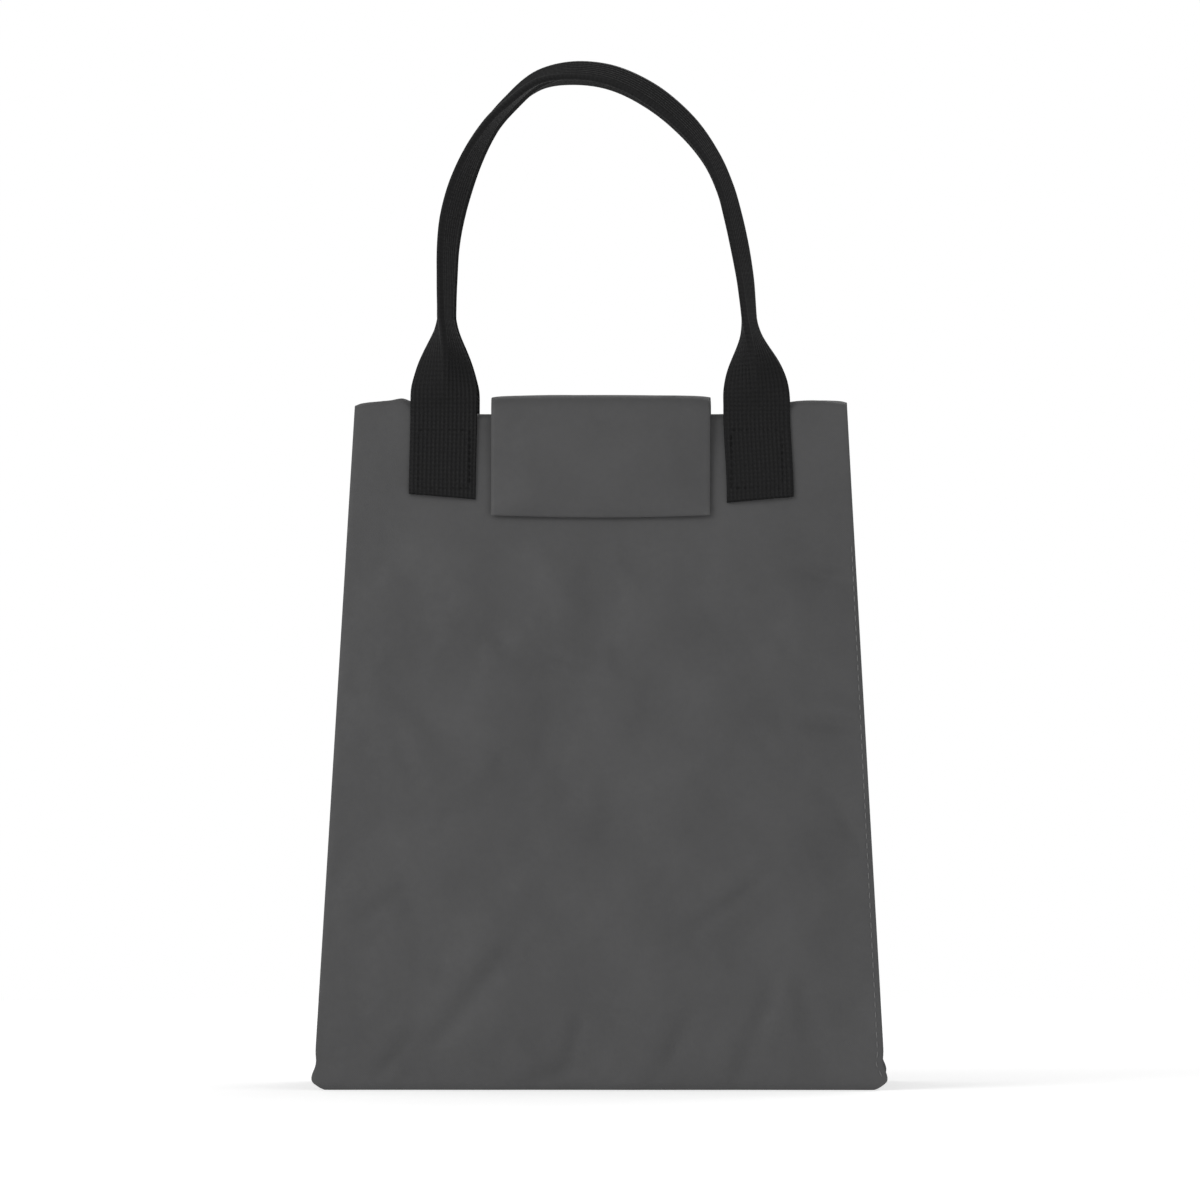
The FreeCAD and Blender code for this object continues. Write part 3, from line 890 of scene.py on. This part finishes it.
def stitch_rows(name, lines, pitch, radius):
    """Short thread tubes laid end to end along lines of points; each line is (points, outward normals)."""
    filled = 0.72 * pitch
    turn = np.linspace(0, 2 * math.pi, STITCH_SIDES, endpoint=False)
    share = np.linspace(-1, 1, STITCH_RINGS)
    swell = np.sqrt(np.clip(1 - (0.97 * share) ** 4, 0.05, 1)) * radius
    stand = 0.5 * radius - 1.1 * radius * share ** 4
    tubes = []
    faces = []
    flat_uv = []
    for line, normals in lines:
        length = run_length(line)
        for start in np.arange(0, length[-1] - filled, pitch):
            marks = np.linspace(start, start + filled, STITCH_RINGS)
            middle = along_line(line, length, marks)
            normal = along_line(normals, length, marks)
            sidewise = unit(np.cross(unit(middle[-1:] - middle[:1]), normal))
            centre = middle + normal * stand[:, None]
            around = np.cos(turn)[:, None] * sidewise[:, None] + np.sin(turn)[:, None] * normal[:, None]
            faces += tube_faces(STITCH_RINGS, STITCH_SIDES, start=len(tubes) * STITCH_RINGS * STITCH_SIDES)
            tubes.append(centre[:, None] + swell[:, None, None] * around)
            flat_uv.append(np.stack(np.broadcast_arrays(turn * radius, marks[:, None]), axis=-1))
    return new_object(name, tubes, faces, flat_uv)


def face_normals(count, side):
    return np.broadcast_to(np.array([0, side * math.cos(LEAN), math.sin(LEAN)]), (count, 3))


def seam_line(x_side, y_side, low, high):
    """A line that runs up a seam on the front or back panel, nearer its outer edge towards the mouth."""
    z = np.linspace(low, high, 120)[:, None]
    past = flange_reach(z, 0) - 2.5 * (1 - 0.6 * z / HEIGHT)
    points = flange_points(x_side, y_side, z, np.zeros_like(z), past, 0)
    return points[:, 0], face_normals(len(z), y_side)


def make_seam_stitches():
    """A row of topstitching beside the right front seam and both back ones."""
    lines = [seam_line(1, -1, 5, 206), seam_line(1, 1, 5, 246), seam_line(-1, 1, 5, 246)]
    dress(stitch_rows("seam_topstitch", lines, 3.75, 0.24), "grey_thread", "root")


def panel_rectangle(side, left, right, upper, lower, out, crossed=False):
    """Stitch lines round a rectangle on the front or back panel, with a cross in it if asked."""
    count = 24
    corners = [(left, upper), (right, upper), (right, lower), (left, lower)]
    pairs = list(zip(corners, corners[1:] + corners[:1]))
    if crossed:
        pairs += [(corners[0], corners[2]), (corners[1], corners[3])]
    lines = []
    for (x_start, drop_start), (x_end, drop_end) in pairs:
        y, z = panel_line(side, np.linspace(drop_start, drop_end, count), out)
        lines.append((stack(np.linspace(x_start, x_end, count), y, z), face_normals(count, side)))
    return lines


# ---- webbing handles ----
#
# Each handle is one strip of ribbed webbing: flat where it is sewn on, folded in half along the grip. The
# fold is open by an angle, and its ridge turns from facing the viewer (0) towards the arch's outside (+).

WEB_HALF = 12.5
WEB_PLY = 1.35
RIBS = 16
ACROSS_WEB = np.linspace(-WEB_HALF, WEB_HALF, 5 * RIBS + 1)
PIVOT_Y = sum(box[1] for box in node_box("front_handle_strap")) / 2
SEWN_X = sum(box[0] for box in node_box("front_handle_right_end")) / 2
SEWN_LOW = node_box("front_handle_right_end")[0][2]
LEFT_X = -SEWN_X - 0.8          # the cloth is sewn on a little unevenly
RIGHT_X = SEWN_X + 0.4
SHUT = 13                       # opening of the fold where a hand holds it

# stations along the front handle: X, Z, opening and turn of the fold in degrees
GRIP = (
    (-58.8, 263, 142, 0), (-58.7, 268.7, 110, 0), (-58.5, 274.4, 80, 1), (-58.3, 280, 47, 3),
    (-58.1, 285.7, 22, 7), (-58.0, 291.4, 15, 11), (-58.0, 297, SHUT, 14), (-57.9, 303, SHUT, 16),
    (-57.5, 315, SHUT, 20), (-56.0, 326, SHUT, 25), (-52.9, 337.5, SHUT, 25), (-48.3, 349, SHUT, 18),
    (-42.2, 359.6, SHUT, 8), (-34.6, 369.0, SHUT, 0), (-24.4, 378.0, SHUT, -8), (-10.8, 381.0, SHUT, -19),
    (4.4, 379.1, SHUT, -24), (19.4, 371.8, SHUT, -27), (32.2, 361.0, SHUT, -24), (41.2, 349.2, SHUT, -16),
    (46.6, 337.5, SHUT, -15), (49.8, 326, SHUT, -17), (52.2, 315, SHUT, -17), (54.1, 304, SHUT, -14),
    (55.0, 296, SHUT, -11), (55.6, 289.5, 14, -8), (56.1, 283.8, 20, -5), (56.7, 278, 44, -2),
    (57.3, 272.2, 86, 0), (57.8, 266.6, 122, 0), (58.2, 261.5, 156, 0),
)


def sewn_stations(x, heights, spread):
    """Flat webbing on the front panel, that steps out to the strap's plane above the mouth edge.

    Its lowest end lies further out sideways by the spread.
    """
    stations = []
    for z in heights:
        on_panel = -(MOUTH_DEPTH + (HEIGHT - min(z, HEIGHT)) * math.tan(LEAN) + WEB_PLY / 2 + 0.1)
        away = smooth_step(z, HEIGHT - 3, HEIGHT + 6)
        aslant = spread * (1 - smooth_step(z, SEWN_LOW, HEIGHT))
        stations.append((x + aslant, on_panel + (PIVOT_Y - on_panel) * away, z, 180, 0))
    return stations


def handle_stations():
    """All stations of the front handle, from its left end to its right one: X, Y, Z, opening, turn."""
    sewn = [226, 232, 238, 244, 249, 253, 256.5]
    left = sewn_stations(LEFT_X, [SEWN_LOW, *sewn, 259], -0.5)
    right = sewn_stations(RIGHT_X, [*sewn[::-1], SEWN_LOW - 1.2], 1.4)
    grip = [(x, PIVOT_Y, z, opening, turn) for x, z, opening, turn in GRIP]
    return np.array(left + grip + right, float)


def even_stations():
    """The front handle's path in even steps, and at each of them the distance, opening and turn."""
    stations = handle_stations()
    line = stations[:, :3]
    length = run_length(line)
    count = int(length[-1] / 1.6)
    even = np.linspace(0, length[-1], count)
    fold = np.pad(along_line(stations[:, 3:], length, even), ((2, 2), (0, 0)), mode="edge")
    opening, turn = (np.convolve(column, np.ones(5) / 5, mode="valid") for column in fold.T)
    return smooth_line(line, count), even, opening, turn


def webbing_section(opening, turn, plane):
    """Middle line of the folded webbing and its normals, in the section's plane."""
    folded = math.radians(180 - opening) / 2
    angle = folded * (2 * smooth_step(ACROSS_WEB, -1.3, 1.3) - 1)
    normals = np.stack([np.sin(angle), np.cos(angle)], axis=1)
    step = ACROSS_WEB[1] - ACROSS_WEB[0]
    bow = 0.35 * (1 - (ACROSS_WEB / WEB_HALF) ** 2) * math.sin(math.radians(opening) / 2)
    points = np.stack([np.cumsum(np.cos(angle)) * step, bow - np.cumsum(np.sin(angle)) * step], axis=1)
    turned = math.radians(turn)
    spin = np.array([[math.cos(turned), -math.sin(turned)], [math.sin(turned), math.cos(turned)]])
    points = points @ spin
    points = points - (points.max(axis=0) + points.min(axis=0)) / 2
    return points @ plane, normals @ spin @ plane


def webbing_ring(place, tangent, opening, turn, from_end):
    """Points round the webbing at one place: its outer face from left to right, and back along the inner."""
    forward = unit(np.array([0, -1.0, 0]) + tangent * tangent[1])
    plane = np.stack([np.cross(forward, tangent), forward])
    points, normals = webbing_section(opening, turn, plane)
    rib = 0.1 * np.cos(math.pi * ACROSS_WEB * RIBS / WEB_HALF)
    rim = 1 - 0.55 * np.clip((np.abs(ACROSS_WEB) - WEB_HALF + 0.7) / 0.7, 0, 1) ** 2
    thick = normals * ((WEB_PLY / 2 + rib) * rim)[:, None]
    middle = place + points
    middle[:, 2] += ACROSS_WEB / WEB_HALF * (1 - smooth_step(from_end, 0, 9))
    return np.concatenate([middle + thick, (middle - thick)[::-1]])


def make_handle(place, side):
    """One handle; side -1 is the front one, and side 1 is its mirror image at the back."""
    path, even, opening, turn = even_stations()
    tangent = unit(np.gradient(path, axis=0))
    from_end = np.minimum(even, even[-1] - even)
    rings = np.array([webbing_ring(*station) for station in zip(path, tangent, opening, turn, from_end)])
    rings[..., 1] *= -side
    round_web = np.concatenate([ACROSS_WEB, ACROSS_WEB[::-1]])
    flat_uv = np.stack(np.broadcast_arrays(round_web, even[:, None]), axis=-1)
    faces = tube_faces(*rings.shape[:2], flip=side < 0)
    piece = new_object(f"{place}_handle_webbing", rings, faces, flat_uv)
    dress(piece, "webbing", None, *(f"{place}_handle_{part}" for part in ("left_end", "right_end", "strap")))
    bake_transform(piece)


def make_handle_stitches():
    """A stitched box on each sewn end of webbing."""
    for place, side in (("front", -1), ("back", 1)):
        lines = []
        for middle in (LEFT_X, RIGHT_X):
            lines += panel_rectangle(side, middle - 9.6, middle + 9.6, 9, 31, WEB_PLY + 0.12)
        dress(stitch_rows(f"{place}_handle_stitches", lines, 2.6, 0.16), "black_thread", "root")


# ---- flap ----
#
# A strip of lining and outer fabric that runs from the back panel over the mouth and down the front. It is
# made in two lengths that meet in the middle of the bridge.

FLAP_HALF = node_box("flap_tip")[1][0]
FLAP_ROWS = 121
FLAP_COLUMNS = 57
FLAP_LINING = (0.05, 0.6)       # height of each ply above the strip's underside
FLAP_OUTER = (0.62, 1.4)

# lines of the flap's creases: distance from the middle and from the sewn end at both ends, depth, half width
FLAP_CREASES = (
    ((-38, 92), (-22, 84), 0.6, 1.8), ((-14, 80), (6, 74), 0.4, 2.2), ((10, 90), (34, 78), 0.6, 2.0),
    ((-30, 108), (-8, 103), 0.35, 2.2), ((18, 72), (30, 66), 0.4, 1.6), ((-34, 20), (-6, 14), 0.5, 2.0),
    ((4, 46), (30, 52), 0.35, 2.4), ((-28, 58), (-4, 52), 0.3, 2.2), ((18, 79), (28, 84), 0.5, 1.5),
    ((-34, 86), (-29, 80), 0.4, 1.5), ((-4, 80), (3, 83), 0.35, 1.5),
)


def flap_underside():
    """The strip's underside seen from the side: sewn to the back, over the mouth, and down the front."""
    sewn_out = 0.05
    tape_room = 2.72            # the two tapes lie between the front panel and the flap
    bridge = ((MOUTH_DEPTH + 0.2, -0.6), (MOUTH_DEPTH - 1.6, 0.9), (13, 1.7), (5, 2.5), (-4, 2.9),
              (-13, 3.1), (-20.5, 2.9), (-23.6, 1.7))
    points = [panel_line(1, drop, sewn_out) for drop in (28, 20, 11, 4)]
    points += [(y, HEIGHT + rise) for y, rise in bridge]
    points += [panel_line(-1, drop, tape_room) for drop in (1.5, 6, 14, 24, 33)]
    points += [panel_line(-1, 37.5, tape_room - 0.7), panel_line(-1, 42, tape_room - 2.0)]
    return np.array(points, float)


def flap_grid(line, above, span, inset):
    """Points of the strip over a span of its line, at a height above its underside.

    Beside the tapes, which hold it, the strip hangs nearer the front panel. Its border is pressed thin.
    """
    along = unit(np.gradient(line, axis=0))[:, None]
    normal = np.stack([along[..., 1], -along[..., 0]], axis=-1)
    up = run_length(line)[:, None]
    end = up[-1, 0]
    across = np.linspace(-1, 1, FLAP_COLUMNS)[None, :]
    x = across * (FLAP_HALF - inset)
    tape_free = smooth_step(np.abs(x), 26, 40)
    hanging = smooth_step(up, end - 40, end - 22) * (1 - smooth_step(up, end - 9, end))
    creases = crease_depth(x, up, FLAP_CREASES) * (1 - 0.5 * np.abs(across) ** 6)
    lift = creases - 1.9 * tape_free * hanging
    pressed = np.maximum(np.abs(across) ** 14, smooth_step(up, end - 4, end))
    room = -0.05 - 2.1 * tape_free * smooth_step(up, end * 0.5, end)
    height = above * (1 - 0.4 * pressed) + np.maximum(lift, room)
    shortened = -0.9 * across ** 2 * smooth_step(up, end - 12, end)
    line_y, line_z = line[:, None, 0], line[:, None, 1]
    y = line_y + normal[..., 0] * height + shortened * along[..., 0]
    z = line_z + normal[..., 1] * height + shortened * along[..., 1]
    dome = 0.55 * across ** 2 * bell(line_y, -18, 9) * (line_z > HEIGHT)
    return stack(x, y, z - dome)[span]


def bend_flap(piece, place):
    """Bake the placement of a length of the flap, the back or the front one, into its mesh."""
    if place == "back":
        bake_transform(piece)
    else:
        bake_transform(piece)


def make_flap():
    """Four plies: outer and lining, each in a back and a front length; and their stitches."""
    line = smooth_line(flap_underside(), FLAP_ROWS)
    middle = int(np.argmin(np.abs(line[:, 0])))
    front = slice(middle, None)
    lengths = (("back", slice(0, middle + 1), ("flap_sewn_end", "flap_bridge"), MOUTH_DEPTH + 30),
               ("front", front, ("flap_tip",), MOUTH_DEPTH + 46))
    plies = (("outer", "outer_fabric", FLAP_OUTER, 0.0, ""),
             ("lining", "lining", FLAP_LINING, 0.7, "_lining"))
    for place, span, nodes, cut_length in lengths:
        for kind, material, heights, inset, ending in plies:
            lower, upper = (flap_grid(line, above, span, inset)[:, ::-1] for above in heights)
            piece = slab_mesh(f"flap_{place}_{kind}", upper, lower)
            dress(piece, material, None, *(node + ending for node in nodes))
            bend_flap(piece, place)
    bend_flap(flap_stitches(line, front), "front")
    anchor = panel_rectangle(1, -FLAP_HALF + 2.5, FLAP_HALF - 2.5, 7, 26, FLAP_OUTER[1], crossed=True)
    dress(stitch_rows("flap_anchor_stitches", anchor, 3.0, 0.2), "fabric_thread", "root")


def flap_stitches(line, span):
    """Topstitching just inside the flap's two side edges."""
    surface = flap_grid(line, FLAP_OUTER[1], span, 1.7)[12:-3]
    normals = unit(np.cross(np.gradient(surface, axis=1), np.gradient(surface, axis=0)))
    normals = normals * np.where(normals[..., 1:2] > 0, -1, 1)
    lines = [(surface[:, edge], normals[:, edge]) for edge in (0, -1)]
    return dress(stitch_rows("flap_topstitch", lines, 3.0, 0.1), "fabric_thread", None)


# ---- hook and loop tape ----

TAPE_DROP = (15.0, 35.0)        # how far below the mouth edge the tapes start and end
HOOK_FOOT = 2.15                # how far out from the panel the hooks stand


def tape_grid(node, out, inset, crown=0.0):
    """Points over the face of a tape that lies along the sloping front panel."""
    across = np.linspace(-1, 1, 60)[None, :]
    upright = np.linspace(-1, 1, 26)[:, None]
    middle = sum(TAPE_DROP) / 2
    half_drop = middle - TAPE_DROP[0]
    share = upright * (half_drop - inset) / half_drop
    y, z = panel_line(-1, middle - share * half_drop, out + crown * (1 - across ** 8) * (1 - share ** 8))
    return stack(across * (node_box(node)[1][0] - inset), y, z)


def make_tapes():
    """Loop tape on the front panel and hook tape on the flap, with its hooks in staggered rows."""
    loop = slab_mesh("loop_tape_pile", tape_grid("loop_tape", 0.9, 0.3, 0.25),
                     tape_grid("loop_tape", 0.05, 0.0))
    dress(loop, "loop_tape", "root", "loop_tape")
    ground = slab_mesh("hook_tape_ground", tape_grid("hook_tape", 2.68, 0.0),
                       tape_grid("hook_tape", 2.1, 0.3))
    dress(ground, "hook_tape", "flap_tip", "hook_tape")
    dress(hook_rows(), "hook_tape", "flap_tip")


def hook_rows():
    """Small hooks that stand on the hook tape and curl over."""
    profile = ((0.0, 0.0), (0.0, 0.32), (0.1, 0.5), (0.28, 0.46))       # along the tape, out from it
    half = 0.12
    thickness = 0.14
    row_pitch = 1.25
    hook_pitch = 1.1
    points = []
    faces = []
    for row, drop in enumerate(np.arange(16.2, 34.4, row_pitch)):
        for x in np.arange(-23.6 + hook_pitch / 2 * (row % 2), 24.0, hook_pitch):
            faces += grid_faces(len(profile), 2, start=len(points))
            for along, out in profile:
                y, z = panel_line(-1, drop, HOOK_FOOT - out)
                points.append((x + along - half, y, z - half))
                points.append((x + along + half, y, z + half))
    hooks = new_object("hook_tape_hooks", points, faces, np.array(points)[:, [0, 2]])
    wire = hooks.modifiers.new("wire", "SOLIDIFY")
    wire.thickness = thickness * MM
    return hooks


# ---- the object and its set ----

make_materials()
make_camera()
make_floor_disc()
make_lights()
make_wrinkles()
make_outer_fabric()
make_inner_walls()
make_corner_tapes()
make_floor()
make_flap()
make_tapes()
make_handle("front", -1)
make_handle("back", 1)
make_seam_stitches()
make_handle_stitches()
